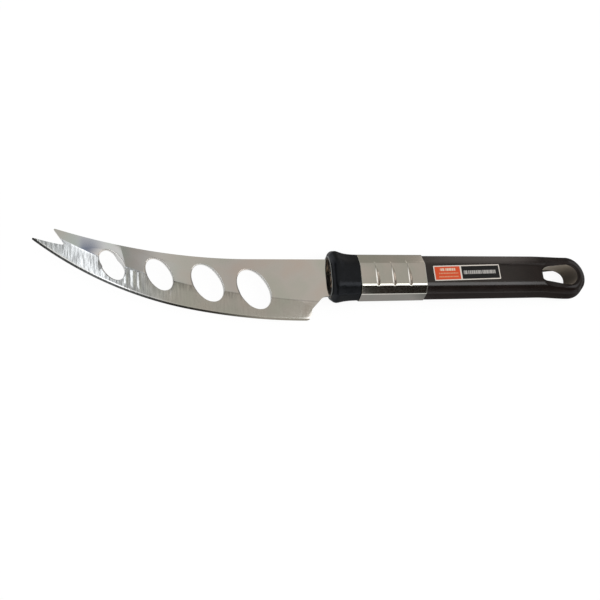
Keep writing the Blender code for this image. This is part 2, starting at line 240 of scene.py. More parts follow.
studio = {
    "worldLight": 0.6,   # what the white surroundings give to matt surfaces
    "floorGlow": 0.87,   # share of the floor's white that no shadow takes away
    "floorWhite": 1.06,
    "floorMirrored": [(-25, "#ffffff"), (0, "#9a9a9a"), (44, "#9a9a9a"), (60, "#4a4a4a")],
    "floorReach": 3000.0,
    "flareContact": 3.8,   # the table touches the collar here, and the grip past the next one
    "gripContact": 50,
    "softboxHeight": 600.0,
    "softboxAlong": (100.0, 950.0),
    "softboxAcross": (-236.0, 20.0),   # seen by the handle's long rounded edge
    "softboxGlow": 1.7,
    "roomAlong": (-330.0, 950.0),
    "roomProfile": ((700, 600), (900, 350), (900, 0)),   # from the ceiling's end down the back wall
    "seenByFlats": [
        (-330, "#bcbcb8"), (-225, "#c0c1bd"), (-205, "#d0d5d2"), (-172, "#d4dcda"), (-163, "#d8e0e2"),
        (-160, "#ebf2fa"), (-113, "#fbfdff"), (-110, "#a7aba6"), (-87, "#b7b6b4"), (-70, "#c5c5c5"),
        (-53, "#d9dad8"), (-20, "#d4d2cb"), (47, "#cdc8c3"), (110, "#d2cdc6"), (185, "#d7d2cb"),
        (272, "#c9c4bd"), (548, "#c5c1ba"), (566, "#605e5c"), (690, "#605e5c"), (720, "#ffffff"),
        (950, "#ffffff")],
    "seenByGround": [
        (-330, "#dededa"), (-250, "#dededa"), (-205, "#fbfbfb"), (-158, "#ffffff"), (-146, "#c4c2c0"),
        (-125, "#b6b4b2"), (-100, "#c8c6c2"), (-43, "#bfbdb2"), (33, "#bdb8af"), (129, "#bdb8ae"),
        (700, "#bdb8ae")],
    "roomLean": 0.18,   # the ground faces lean, so their part lies in front of the flats' part
    "groundToFlats": (123.0, 140.0),
    "cloud": "#8f9ab2",   # dark blue, in the window
    "cloudAlong": ((-164.0, -160.0), (-130.0, -147.0)),
    "cloudAcross": (240.0, 214.0),
    "doorway": "#4a443d",   # seen by the sleeve's folds and the rims of the holes
    "doorwayAlong": (0.0, -20.0),
    "doorwayAcross": ((126.0, 129.0), (154.0, 151.0)),
    "windowAlong": ((-150.0, -172.0), (-215.0, -190.0)),   # lights the ground face behind the fork
    "windowGlow": 1.9,
    "wallTones": [(-330, "#aca99f"), (519, "#aca8a0"), (529, "#fff6ee"), (772, "#f6ece4"), (790, "#5f5d5c"),
                  (950, "#5f5d5c")],
    "edgeLine": [(-700, -600), (250, -600), (250, -236), (0, -236), (-180, -130), (-700, -130)],
    "edgeTones": [(-700, "#42423f"), (-434, "#5c5c5a"), (-359, "#80807e"), (-266, "#5f5f5d"),
                  (-165, "#33322f"), (-60, "#3c3a36"), (-6, "#6f6c66"), (60, "#b5b0a6"), (250, "#b5b0a6")],
    "flag": "#2a2622",
    "flagRadius": 650.0,
    "flagSpan": (0.0, 130.0),   # degrees from the front towards the blade's tip
    "flagHeights": (345.0, 1523.0),
    "flagSteps": 24,
    "cardFront": -190.0,   # dark card beside the handle, seen by its lower chamfers
    "cardTop": 480.0,
    "cardFoot": ((105.0, 178.0), (130.0, 172.0), (175.0, 156.0), (340.0, 149.0), (480.0, 140.0)),
    "tailCard": "#b4b1ac",   # beyond the tail, seen from the blade's end
    "tailCardLine": ((980, -450), (980, 110)),
    "tailCardHeights": (150, 590),
}


def seenDirectly(add):
    # 1 for rays that see the white surroundings themselves, 0 for their matt light
    ray = add("LightPath").node.outputs
    seen = add("Math", ray["Is Camera Ray"], ray["Is Glossy Ray"], operation="MAXIMUM")
    return add("Math", seen, ray["Is Transmission Ray"], operation="MAXIMUM"), ray["Is Glossy Ray"]


def makeWorld():
    world = bpy.data.worlds.new("studio")
    bpy.context.scene.world = world
    add = bareTree(world)
    dim = add("Background", colour("#ffffff"), studio["worldLight"])
    full = add("Background", colour("#ffffff"), 1.0)
    add("OutputWorld", add("MixShader", seenDirectly(add)[0], dim, full))


def stageMesh(name, points, faces, material):
    mesh = bpy.data.meshes.new(name)
    mesh.from_pydata([Vector(p) * mm for p in points], [], faces)
    mesh.materials.append(material)
    item = toScene(name, mesh)
    return item


def alongKnife(add):
    return product(add, add("SeparateXYZ", add("TexCoord", out=3)), 1 / mm)


def rowRamp(add, along, stops):
    # colours of the room along the knife, from (mm, hex) stops
    low, high = stops[0][0], stops[-1][0]
    share = add("MapRange", along, low, high)
    return ramp(add, share, [((x - low) / (high - low), hexCode) for x, hexCode in stops])


def makeFloor():
    # a table that touches the collar's flare and the grip's underside
    contact = collarLow.x + studio["flareContact"] * mm
    heights = [(v.co.z, v.co.x - contact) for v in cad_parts["handle"].data.vertices]
    slope = min(z / run for z, run in heights if run > studio["gripContact"] * mm)
    material = bpy.data.materials.new("whiteFloor")
    add = bareTree(material)
    seen, glossy = seenDirectly(add)
    matt = add("BsdfDiffuse", colour("#ffffff"))
    # the knife shades the table beside its handle, and its glossy underside shows that
    shaded = rowRamp(add, alongKnife(add), studio["floorMirrored"])
    glow = add("Emission", paintOver(add, colour("#ffffff"), (glossy, shaded)), studio["floorWhite"])
    add("OutputMaterial", add("MixShader", product(add, seen, studio["floorGlow"]), matt, glow))
    start, reach = contact / mm, studio["floorReach"]
    edges = ((-reach, -reach), (reach, -reach), (reach, reach), (-reach, reach))
    stageMesh("floor", [(x, y, (x - start) * slope) for x, y in edges], [(0, 1, 2, 3)], material)
    print("floor slope", round(slope, 4))


def reflectorOnly(item):
    # only the knife's glossy surfaces see it
    for ray in ("camera", "diffuse", "shadow", "transmission", "volume_scatter"):
        setattr(item, "visible_" + ray, False)


def ceilingMaterial():
    # what the polished blade mirrors: a warm grey room, with a window over the fork
    material = bpy.data.materials.new("roomCeiling")
    add = bareTree(material)
    place = add("VectorMath", add("TexCoord", out=3), (1 / mm, 1 / mm, 0), operation="MULTIPLY")
    axes = add("SeparateXYZ", place).node.outputs
    x, y = axes["X"], axes["Y"]
    skewed = add("Math", x, studio["roomLean"], y, operation="MULTIPLY_ADD")
    towardsBack = add("MapRange", skewed, *studio["groundToFlats"])
    cloud = product(add, within(add, x, *studio["cloudAlong"]), add("MapRange", y, *studio["cloudAcross"]),
                    towardsBack)
    doorway = product(add, within(add, skewed, *studio["doorwayAcross"]),
                      add("MapRange", x, *studio["doorwayAlong"]))
    room = paintOver(add, rowRamp(add, x, studio["seenByGround"]),
                     (towardsBack, rowRamp(add, x, studio["seenByFlats"])),
                     (cloud, studio["cloud"]), (doorway, studio["doorway"]))
    towardsFront = add("MapRange", towardsBack, 0, 1, 1, 0)
    lit = product(add, within(add, x, *studio["windowAlong"]), towardsFront)
    add("OutputMaterial", add("Emission", room, add("MapRange", lit, 0, 1, 1, studio["windowGlow"])))
    return material


def glowCard(name, points, faces, tones):
    # a card with a plain glow, or with one that changes along the knife
    material = bpy.data.materials.new(name)
    add = bareTree(material)
    tone = colour(tones) if isinstance(tones, str) else rowRamp(add, alongKnife(add), tones)
    add("OutputMaterial", add("Emission", tone, 1.0))
    reflectorOnly(stageMesh(name, points, faces, material))


def upright(line):
    # points and faces of a strip over (x, y, low, top) stations
    points = [(x, y, z) for x, y, low, top in line for z in (low, top)]
    return points, [(2 * i, 2 * i + 2, 2 * i + 3, 2 * i + 1) for i in range(len(line) - 1)]


def makeReflectors():
    high = studio["softboxHeight"]
    front, near = studio["softboxAcross"]
    room = [(x, y, z) for y, z in ((near, high), *studio["roomProfile"]) for x in studio["roomAlong"]]
    strips = [(0, 1, 3, 2), (2, 3, 5, 4)]
    reflectorOnly(stageMesh("roomCeiling", room[:4], strips[:1], ceilingMaterial()))
    glowCard("roomBack", room[2:], strips, studio["wallTones"])
    edge = [(x, y, high) for x, y in studio["edgeLine"]]
    glowCard("edgeFlag", edge, [range(len(edge))], studio["edgeTones"])
    first, last = studio["flagSpan"]
    steps = studio["flagSteps"]
    turns = [radians(first + (last - first) * i / steps) for i in range(steps + 1)]
    radius = studio["flagRadius"]
    rim = [(-sin(t) * radius, -cos(t) * radius, *studio["flagHeights"]) for t in turns]
    glowCard("frontFlag", *upright(rim), studio["flag"])
    foot = [(x, studio["cardFront"], low, studio["cardTop"]) for x, low in studio["cardFoot"]]
    glowCard("handleFlag", *upright(foot), studio["flag"])
    line = [(x, y, *studio["tailCardHeights"]) for x, y in studio["tailCardLine"]]
    glowCard("tailCard", *upright(line), studio["tailCard"])
    lamp = bpy.data.lights.new("softbox", "AREA")
    lamp.shape = "RECTANGLE"
    start, end = studio["softboxAlong"]
    lamp.size = (end - start) * mm
    lamp.size_y = (near - front) * mm
    lamp.energy = studio["softboxGlow"] * pi * lamp.size * lamp.size_y
    toScene("softbox", lamp).location = ((start + end) / 2 * mm, (near + front) / 2 * mm, high * mm)


makeCamera()
makeWorld()
makeFloor()
makeReflectors()
print("camera and studio ready")


blade = {
    "edgeLowSetback": 5.0,
    "edgeDepth": 19.9,
    "edgeHeelRadius": 267.0,
    "edgeHeelRun": 58.0,
    "lowerProngTip": (-127.8, 18.66),
    "grindWidths": (8.6, 10.4, 6.4),   # ground face at the heel, the middle and the tip
    "edgeLength": 122.0,
    "bevelWidth": 0.85,
    "rimSpread": (1.4, 0.4, 0.4, 0.4),   # extra width of the drawn-in rims on the edge side, from the tip
    "rimTowards": ((-0.55, -0.84), (-0.85, -0.53), (-0.85, -0.53), (-0.85, -0.53)),
    "rimLip": (1.4, 0.4, 0.55, 0.55),   # the same on the collar's side
    "steel": "#cbc8c3",
    "streakWidth": 0.8,   # cross-grinding marks near the tip
    "streakLength": 6.0,
    "streakDepth": 0.026,
    "brightStrokes": ((-90.2, 0.9, 0.05), (-87.4, 1.0, 0.065), (-84.7, 0.8, 0.04)),   # start, width, rise in mm
}


def edgeArcs():
    # the cutting edge's heel arc and the arc that leaves it and ends at the lower prong
    radius = blade["edgeHeelRadius"]
    centre = Vector((-blade["edgeLowSetback"], radius - blade["edgeDepth"]))
    turn = asin(blade["edgeHeelRun"] / radius)
    inward = Vector((sin(turn), cos(turn)))
    joint = centre - inward * radius
    toTip = Vector(blade["lowerProngTip"]) - joint
    tipRadius = toTip.length_squared / (2 * toTip.dot(inward))
    return centre, radius, turn, joint, joint + inward * tipRadius, tipRadius


def fromEdge(point):
    # distance of a point of the blade from the cutting edge, in mm
    centre, radius, turn, joint, tipCentre, tipRadius = edgeArcs()
    ahead = (point - joint).dot(Vector((-cos(turn), sin(turn)))) > 0
    return tipRadius - (point - tipCentre).length if ahead else radius - (point - centre).length


def edgeGauge(add):
    # the same distance, and the distance along the edge, as shader values in mm
    centre, radius, turn, joint, tipCentre, tipRadius = edgeArcs()
    place = add("TexCoord", out=3)
    local = add("VectorMath", place, knifeShift, operation="SUBTRACT")
    local = add("VectorMath", local, (1 / mm, 1 / mm, 0), operation="MULTIPLY")
    found = []
    for middle, size, offset in ((centre, radius, 0.0), (tipCentre, tipRadius, turn * (radius - tipRadius))):
        arm = add("VectorMath", (middle.x, middle.y, 0), local, operation="SUBTRACT")
        reach = add("VectorMath", arm, out=1, operation="LENGTH")
        gap = add("Math", size, reach, operation="SUBTRACT")
        parts = add("SeparateXYZ", arm).node.outputs
        angle = add("Math", parts["X"], parts["Y"], operation="ARCTAN2")
        along = add("Math", angle, size, offset, operation="MULTIPLY_ADD")
        found.append((along, gap))
    past = add("VectorMath", local, (joint.x, joint.y, 0), operation="SUBTRACT")
    past = add("VectorMath", past, (-cos(turn), sin(turn), 0), out=1, operation="DOT_PRODUCT")
    ahead = add("Math", past, 0.0, operation="GREATER_THAN")
    return [add("Mix", {0: ahead, 2: found[0][i], 3: found[1][i]}) for i in (0, 1)], local


def bladeSteel():
    # stainless sheet, ground and polished: a warm grey mirror-like skin on the flats,
    # streaked across the edge by the grinding wheel, most of all near the fork
    material, add, shader = newMaterial("stainlessGroundPolished")
    (along, gap), local = edgeGauge(add)
    # the ground face's width is a parabola through its three widths
    heel, middle, tip = blade["grindWidths"]
    share = add("Math", along, blade["edgeLength"], operation="DIVIDE")
    width = add("Math", share, 2 * heel - 4 * middle + 2 * tip, 4 * middle - 3 * heel - tip,
                operation="MULTIPLY_ADD")
    width = add("Math", share, width, heel, operation="MULTIPLY_ADD")
    inside = add("Math", width, gap, operation="SUBTRACT")
    ground = add("MapRange", inside, -0.1, 0.25)
    line = add("MapRange", add("Math", inside, operation="ABSOLUTE"), 0.45, 0.05)

    # grinding marks, in full only near the tip
    marks = (1 / blade["streakWidth"], 1 / blade["streakLength"], 0)
    streakPlace = add("VectorMath", local, marks, operation="MULTIPLY")
    streaks = add("TexNoise", {"Vector": streakPlace, "Scale": 1.0, "Detail": 2.0, "Roughness": 0.55,
                               "Distortion": 0.1}, noise_dimensions="2D")
    envelope = add("MapRange", along, 62.0, 92.0, 0.1, 1.0)
    marks = product(add, envelope, add("MapRange", inside, -0.8, -0.35))

    blotches = add("TexNoise", {"Vector": local, "Scale": 0.06, "Detail": 2.0})
    tint = ramp(add, blotches, [(0.35, "#c4c6be"), (0.5, blade["steel"]), (0.68, "#cdc4bd")])
    # the marks' bluish tint and their lighter and darker streaks are partly real grinding marks, partly painted
    # glints and reflection
    tint = paintOver(add, tint, (product(add, marks, 0.9), "#ccd0d3"))
    markGlints = add("MapRange", streaks, 0.3, 0.7, 0.6, 1.35)
    tint = add("Mix", {0: marks, 6: tint, 7: markGlints}, out=2, data_type="RGBA", blend_type="MULTIPLY")
    lined = product(add, line, add("MapRange", envelope, 0.3, 1.0, 0.22, 0.03))
    # darker strokes painted just below the grind line, and a painted highlight line where the edge bevel starts
    under = product(add, add("MapRange", inside, 3.4, 0.4), ground, within(add, along, (25, 32), (78, 68)),
                    add("MapRange", streaks, 0.35, 0.6, 0.42, 0.1))
    bevelHighlight = add("Math", gap, blade["bevelWidth"] + 0.25, operation="SUBTRACT")
    bevelHighlight = add("MapRange", add("Math", bevelHighlight, operation="ABSOLUTE"), 0.3, 0.1)
    # painted shade darkens the choil's cut face and greys the drawn-in rims, and a matt light grey painted
    # highlight lies on the far lip of each hole
    wall, drawn, lipped = (add("Attribute", out=2, attribute_name=name) for name in ("wall", "drawn", "lipped"))
    tint = paintOver(add, tint, (lined, "#4e4a42"), (under, "#57544c"),
                     (product(add, bevelHighlight, envelope), "#ffffff"),
                     (wall, "#5a5751"), (drawn, "#817f7c"), (lipped, "#f2f2f0"))

    grain = add("TexNoise", {"Vector": local, "Scale": 2.0, "Detail": 2.0})
    polish = add("MapRange", grain, 0, 1, 0.03, 0.07)
    satin = add("Math", ground, 0.06, polish, operation="MULTIPLY_ADD")
    # heights in mm: the grinding marks, and the rounded start of the edge bevel
    height = product(add, add("Math", streaks, 0.5, operation="SUBTRACT"), add("MapRange", inside, -0.6, 1.2),
                     envelope, blade["streakDepth"])
    # a few broad strokes between the first two holes, each tilted enough to catch the window
    stripes = product(add, add("MapRange", gap, 1.8, 3.6), ground)
    alongX = add("SeparateXYZ", local)
    for begin, size, rise in blade["brightStrokes"]:
        up = add("MapRange", alongX, begin, begin + size, 0, rise)
        off = add("MapRange", alongX, begin + size, begin + 2.2 * size, 0, rise)
        stroke = product(add, add("Math", up, off, operation="SUBTRACT"), stripes)
        height = add("Math", height, stroke, operation="ADD")
    start = blade["bevelWidth"]
    rounded = product(add, add("MapRange", gap, start - 0.05, start + 0.55, 0, 0.05), envelope)
    height = add("Math", height, rounded, operation="ADD")
    fill(shader, {"Base Color": tint, "Metallic": add("MapRange", lipped, 0, 1, 1, 0), "Roughness": satin,
                  "Normal": add("Bump", {"Strength": 1.0, "Distance": mm, "Height": height})})
    return material


def widenRims(work):
    # the punch drew the metal in on the edge side of each hole, most of all at the first one
    drawn = work.verts.layers.float.new("drawn")
    lipped = work.verts.layers.float.new("lipped")
    rimFaces = {f for f in work.faces if abs(f.normal.z) < 0.97}
    found = []
    while rimFaces:
        island, waiting = set(), [rimFaces.pop()]
        while waiting:
            face = waiting.pop()
            island.add(face)
            for edge in face.edges:
                for near in edge.link_faces:
                    if near in rimFaces:
                        rimFaces.discard(near)
                        waiting.append(near)
        verts = {v for f in island for v in f.verts}
        places = [v.co.x for v in verts]
        if 5 * mm < max(places) - min(places) < 20 * mm:
            found.append((sum(places) / len(places), island, verts))
    found.sort(key=lambda item: item[0])
    print("hole rims", len(found))
    drawnIn = zip(found, blade["rimSpread"], blade["rimTowards"], blade["rimLip"])
    for (_, island, verts), spread, towards, lip in drawnIn:
        middle = sum((v.co for v in verts), Vector()) / len(verts)
        layer = {v for v in verts if any(f not in island for f in v.link_faces)}
        done, share = set(layer), 0.0
        while layer:
            share = min(share + 0.34, 1.0)
            layer = {e.other_vert(v) for v in layer for e in v.link_edges} & verts - done
            done |= layer
            for v in layer:
                outward = (v.co - middle).xy.normalized()
                edgeSide = max(0.0, outward.dot(Vector(towards)))
                backSide = max(0.0, outward.dot(Vector((0.92, 0.39))))
                v.co.xy -= outward * mm * share * (spread * edgeSide + lip * backSide)
                # the drawn-in side is marked for painted shade, the far side for a painted highlight
                v[drawn] = edgeSide
                v[lipped] = min(1.0, 1.2 * backSide) * (0.4 + 0.6 * lip / max(blade["rimLip"]))


def makeBlade():
    # the CAD blade's own surface, merged, with crisp grind lines and smooth hole rims
    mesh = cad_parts["blade"].data.copy()
    work = bmesh.new()
    work.from_mesh(mesh)
    bmesh.ops.remove_doubles(work, verts=work.verts, dist=1e-6)
    for edge in work.edges:
        if len(edge.link_faces) != 2:
            continue
        angle = edge.calc_face_angle(0.0)
        middle = ((edge.verts[0].co + edge.verts[1].co) / 2 - knifeShift) / mm
        gap = fromEdge(middle.xy)
        atBevel = gap < 1.2 and angle > radians(9)
        byHeel = middle.x > -14 and abs(gap - blade["grindWidths"][0]) > 0.9
        atGrindLine = radians(0.8) < angle < radians(9) and not byHeel
        edge.smooth = not (angle > radians(50) or atBevel or atGrindLine)
    # faces of the choil's cut edge, which get painted shade
    wall = work.faces.layers.float.new("wall")
    for face in work.faces:
        middle = (face.calc_center_median() - knifeShift) / mm
        face[wall] = float(abs(face.normal.z) < 0.5 and middle.x > -12 and middle.y < -4)
    widenRims(work)
    for face in work.faces:
        face.smooth = True
    work.to_mesh(mesh)
    work.free()
    source = toScene("bladeSource", mesh)
    if mesh.attributes.get("custom_normal"):
        mesh.attributes.remove(mesh.attributes["custom_normal"])
    weigh = source.modifiers.new("weigh", "WEIGHTED_NORMAL")
    weigh.keep_sharp = True
    piece = plainCopy("bladeGround", source)
    dress(piece, "blade", bladeSteel())


makeBlade()


section = {
    "width": 21.9,
    "height": 12.6,
    "flat": 10.6,
    "facetDrop": 2.7,
    "facetInset": 1.3,
    "bellyDrop": 2.2,   # the same two on the side of the cutting edge
    "bellyInset": 2.2,
    "flatEdgeRadius": 4.0,
    "facetEdgeRadius": 0.6,
    "sideRadius": 2.0,
}


def sectionTree(add, inputs, spacing):
    # closed section curve: ten corners placed from the sizes, then filleted and resampled
    half, top, flat = (product(add, inputs[k], 0.5) for k in ("width", "height", "flat"))
    index = add("InputIndex")
    below = add("Math", index, 4.5, operation="GREATER_THAN")
    inset, drop = (add("Mix", {0: below, 2: inputs["facet" + k], 3: inputs["belly" + k]}) for k in
                   ("Inset", "Drop"))
    shoulder = add("Math", half, inset, operation="SUBTRACT")
    facet = add("Math", top, drop, operation="SUBTRACT")
    corner = add("Mix", {0: below, 2: index, 3: add("Math", 9.0, index, operation="SUBTRACT")})
    side = add("Math", below, -2.0, 1.0, operation="MULTIPLY_ADD")
    atFlat, atFacet, atSide = (inputs[k] for k in ("flatEdgeRadius", "facetEdgeRadius", "sideRadius"))
    picked = []
    for values in ((flat, shoulder, half, shoulder, flat),
                   (top, facet, 0.0, product(add, facet, -1.0), product(add, top, -1.0)),
                   (atFlat, atFacet, atSide, atFacet, atFlat)):
        switch = add("IndexSwitch", data_type="FLOAT").node
        while len(switch.index_switch_items) < 5:
            switch.index_switch_items.new()
        fill(switch, dict(enumerate((corner, *values))))
        picked.append(switch.outputs[0])
    across = product(add, picked[0], side)
    place = add("CombineXYZ", across, picked[1])
    ring = add("CurvePrimitiveCircle", {"Resolution": 10})
    ring = add("SetPosition", {"Geometry": ring, "Position": place})
    ring = add("FilletCurve", {"Curve": ring, "Count": 10, "Radius": picked[2]}, mode="POLY")
    return add("ResampleCurve", {"Curve": ring, "Length": spacing}, mode="LENGTH")


def sectionInputs(width, height):
    return {"width": width * mm, "height": height * mm,
            **lengths(section, "flat", "facetDrop", "facetInset", "bellyDrop", "bellyInset", "flatEdgeRadius",
                      "facetEdgeRadius", "sideRadius")}


def sweepTree(add, profile, stations, caps):
    # straight tube of unit length along Z; x and y are the section's, z runs from 0 to 1
    line = add("CurvePrimitiveLine", {"Start": (0, 0, 0), "End": (0, 0, 1)})
    line = add("ResampleCurve", {"Curve": line, "Count": stations})
    return add("CurveToMesh", {"Curve": line, "Profile Curve": profile, "Fill Caps": caps})


sleeve = {
    "width": 23.0,
    "height": 13.7,
    "start": 14.6,
    "length": 33.1,
    "wall": 0.6,
    "rimRound": 0.15,
    "stations": 201,   # how finely the tube is divided along and around
    "spacing": 0.3,
    "creaseCount": 3,
    "creasePitch": 8.2,
    "creaseTop": 7.5,   # across the sleeve, towards the spine
    "creaseLength": 13.0,
    "creaseShift": -0.7,   # the first crease lies this much nearer the collar than centred ones would
    "creaseWidth": 1.7,
    "creaseSteepness": 1.2,   # how wide the flank towards the grip is beside the other one
    "creaseDepth": 0.42,
    "creaseSpread": [(0, 0), (0.12, 0.3), (0.28, 0.5), (0.56, 0.9), (0.82, 1.0), (0.955, 0.8), (1, 0)],
    "creaseFall": [(0, 0), (0.12, 0.1), (0.28, 0.2), (0.424, 0.5), (0.595, 0.88), (0.82, 1.0), (0.964, 1.0),
                   (1, 0)],   # shares of the width and of the depth from the spine's end to the edge's
    "creaseBow": 0.45,   # how far its middle bends towards the grip
    "creaseSlant": -0.075,   # the lower ends lean back towards the grip
}


def sleeveTree():
    values = {**sectionInputs(sleeve["width"], sleeve["height"]),
              **lengths(sleeve, "start", "length", "rimRound", "creasePitch", "creaseTop", "creaseShift",
                        "creaseLength", "creaseWidth", "creaseDepth", "creaseBow"),
              "creaseCount": sleeve["creaseCount"], "creaseSlant": sleeve["creaseSlant"],
              "creaseSteepness": sleeve["creaseSteepness"], "steel": sleeveSteel()}
    tree, add, given, result = newTree("creasedSleeve", values)
    profile = sectionTree(add, given, sleeve["spacing"] * mm)
    tube = sweepTree(add, profile, sleeve["stations"], False)
    parts = add("SeparateXYZ", add("InputPosition")).node.outputs
    run = product(add, parts["Z"], given["length"])
    toRim = add("Math", run, add("Math", given["length"], run, operation="SUBTRACT"), operation="MINIMUM")
    curl = add("MapRange", toRim, 0.0, given["rimRound"], 0.988, 1.0, interpolation_type="SMOOTHSTEP")
    across, height = product(add, parts["X"], curl), product(add, parts["Y"], curl)

    # creases: number of the nearest one, then how far across and along it this point lies
    fromMiddle = add("Math", given["length"], -0.5, run, operation="MULTIPLY_ADD")
    down = add("Math", given["creaseTop"], across, operation="SUBTRACT")
    down = add("Math", down, given["creaseLength"], operation="DIVIDE")
    bow = product(add, add("Math", 1.0, down, operation="SUBTRACT"), down)
    bow = product(add, add("Math", bow, 0.0, operation="MAXIMUM"), 4.0, given["creaseBow"])
    for shift in (product(add, across, given["creaseSlant"]), given["creaseShift"], bow):
        fromMiddle = add("Math", fromMiddle, shift, operation="SUBTRACT")
    number = add("Math", fromMiddle, given["creasePitch"], operation="DIVIDE")
    number = add("Math", number, operation="ROUND")
    most = add("Math", given["creaseCount"], 0.5, -0.5, operation="MULTIPLY_ADD")
    number = add("Clamp", number, product(add, most, -1.0), most)
    sideways = add("Math", fromMiddle, product(add, number, given["creasePitch"]), operation="SUBTRACT")
    past = add("Math", sideways, 0.0, operation="GREATER_THAN")
    narrow = add("Mix", {0: past, 2: 1.0, 3: given["creaseSteepness"]})
    sideways = add("Math", sideways, narrow, operation="DIVIDE")
    sideways = add("Math", sideways, operation="ABSOLUTE")
    spread, depth = add("FloatCurve", {1: down}), add("FloatCurve", {1: down})
    setCurve(spread, sleeve["creaseSpread"])
    setCurve(depth, sleeve["creaseFall"])
    reach = product(add, given["creaseWidth"], 0.5, spread)
    reach = add("Math", reach, 0.00002, operation="MAXIMUM")
    inFold = add("Math", sideways, reach, operation="DIVIDE")
    fold = add("MapRange", inFold, 0.06, 1.0, 1.0, 0.0)
    sink = product(add, fold, depth, given["creaseDepth"])
    upper = add("Math", height, operation="SIGN")
    level = add("Math", height, operation="ABSOLUTE")
    onTop = add("Math", level, product(add, given["height"], 0.3), operation="GREATER_THAN")
    height = add("Math", height, product(add, sink, onTop, upper), operation="SUBTRACT")

    # +1 on the flank towards the collar, -1 on the one towards the grip
    inside = product(add, add("Math", fold, 0.03, operation="GREATER_THAN"), depth, onTop)
    flank = product(add, add("Math", past, -2.0, 1.0, operation="MULTIPLY_ADD"), inside)
    tube = add("StoreNamedAttribute", {"Geometry": tube, "Name": "flank", "Value": flank})

    place = add("CombineXYZ", add("Math", run, given["start"], operation="ADD"), across, height)
    place = add("VectorMath", place, knifeShift, operation="ADD")
    tube = add("SetPosition", {"Geometry": tube, "Position": place})
    tube = add("RealizeInstances", tube)
    tube = add("SetMaterial", {"Geometry": tube, "Material": given["steel"]})
    fill(result, {0: tube})
    return tree, values


def sleeveSteel():
    # stainless sheet, rolled, pressed and lightly polished: soft mirror with faint lengthwise lines
    material, add, shader = newMaterial("stainlessPressedSheet")
    place = add("TexCoord", out=3)
    stretched = add("VectorMath", place, (60, 4000, 4000), operation="MULTIPLY")
    lines = add("TexNoise", {"Vector": stretched, "Scale": 1.0, "Detail": 2.0})
    blotches = add("TexNoise", {"Vector": place, "Scale": 90.0, "Detail": 2.0})
    tint = ramp(add, blotches, [(0.35, "#c2c2ba"), (0.6, "#cac5be")])
    # painted highlight on each fold's flank towards the collar, painted shade on its flank towards the grip
    flank = add("Attribute", out=2, attribute_name="flank")
    foldHighlight = add("MapRange", flank, 0.35, 0.95)
    dull = add("MapRange", flank, -0.2, -0.9)
    tint = paintOver(add, tint, (foldHighlight, "#fffaf2"), (dull, "#9c9084"))
    fill(shader, {"Base Color": tint, "Metallic": 1.0, "Roughness": add("MapRange", lines, 0, 1, 0.09, 0.13)})
    return material


def makeSleeve():
    tree, values = sleeveTree()
    tube = runTree("sleeveTube", tree, values)
    rework(tube.data)
    wall = tube.modifiers.new("wall", "SOLIDIFY")
    wall.thickness = sleeve["wall"] * mm
    wall.offset = -1.0
    dress(plainCopy("sleevePressed", tube), "sleeve", values["steel"], 50)


makeSleeve()


collar = {
    "neckWidth": 22.6,
    "neckHeight": 13.0,
    "flatEdgeRadius": 7.0,
    "peakWidth": 25.4,
    "peakOffset": 0.6,
    "peakHeight": 15.4,
    "front": 1.0,
    "dish": (0.9, 0.62, 0.3),   # depth of the hollow front face, and its floor's share of the width and height
    "lipLength": 2.8,
    "lipDrop": 2.8,
    "flareRun": 2.5,
    "length": 14.5,
    "stations": 36,   # how finely the body is divided along and around
    "spacing": 0.4,
    "offset": 0.25,   # towards the spine
    "mouthWidth": 2.3,
    "mouthHeight": 18.4,
    "mouthDepth": 3.0,
    "flashRadius": 0.3,   # squeezed-out rim round the blade's neck
    "flashShake": (0.7, 1.2, 0.6),
    "ridgeRadius": 0.26,   # thin edge round the front face, with a painted highlight
}


def collarSizes(count):
    # stations along the collar as (distance, width, height)
    deep, wide, tall = collar["dish"]
    sizes = [(collar["front"] + deep, wide * (collar["peakWidth"] - 2 * collar["lipDrop"]),
              tall * (collar["peakHeight"] - 2 * collar["lipDrop"]))]
    lipCount = count // 3
    for i in range(lipCount + 1):
        a = pi / 2 * i / lipCount
        drop = 2 * collar["lipDrop"] * (1 - sin(a))
        x = collar["front"] + collar["lipLength"] * (1 - cos(a))
        sizes.append((x, collar["peakWidth"] - drop, collar["peakHeight"] - drop))
    peak = collar["front"] + collar["lipLength"]
    for i in range(1, count - lipCount + 1):
        x = peak + (collar["length"] - peak) * (i / (count - lipCount)) ** 1.3
        run = (x - peak) / collar["flareRun"]
        fade = exp(-run * run / (1 + run))
        sizes.append((x, collar["neckWidth"] + (collar["peakWidth"] - collar["neckWidth"]) * fade,
                      collar["neckHeight"] + (collar["peakHeight"] - collar["neckHeight"]) * fade))
    return sizes


def collarPlastic():
    # black thermoplastic rubber, moulded: soft sheen, faint lumps, nearly black with a blue cast
    material, add, shader = newMaterial("blackMouldedRubber")
    place = add("TexCoord", out=3)
    lumps = add("TexNoise", {"Vector": place, "Scale": 260.0, "Detail": 2.0})
    fine = add("TexNoise", {"Vector": place, "Scale": 1800.0, "Detail": 2.0})
    tint = ramp(add, lumps, [(0.3, "#050607"), (0.7, "#0b0c0e")])
    # a painted highlight in grey on the front ridge, brown and black smears on the front face and the flash
    worn = add("Attribute", out=2, attribute_name="worn")
    smear = add("Attribute", out=2, attribute_name="smear")
    spots = add("TexNoise", {"Vector": place, "Scale": 700.0, "Detail": 2.0})
    smeared = ramp(add, spots, [(0.4, "#12100c"), (0.5, "#5a4c3f"), (0.62, "#a8947f")])
    tint = paintOver(add, tint, (smear, smeared), (worn, "#8d8f8d"))
    relief = add("Math", fine, 0.12, lumps, operation="MULTIPLY_ADD")
    fill(shader, {"Base Color": tint, "Roughness": add("MapRange", lumps, 0, 1, 0.26, 0.38),
                  "Specular IOR Level": 0.28, "Specular Tint": colour("#dfe6f2"),
                  "Normal": add("Bump", {"Strength": 0.6, "Distance": 0.0003, "Height": relief})})
    return material


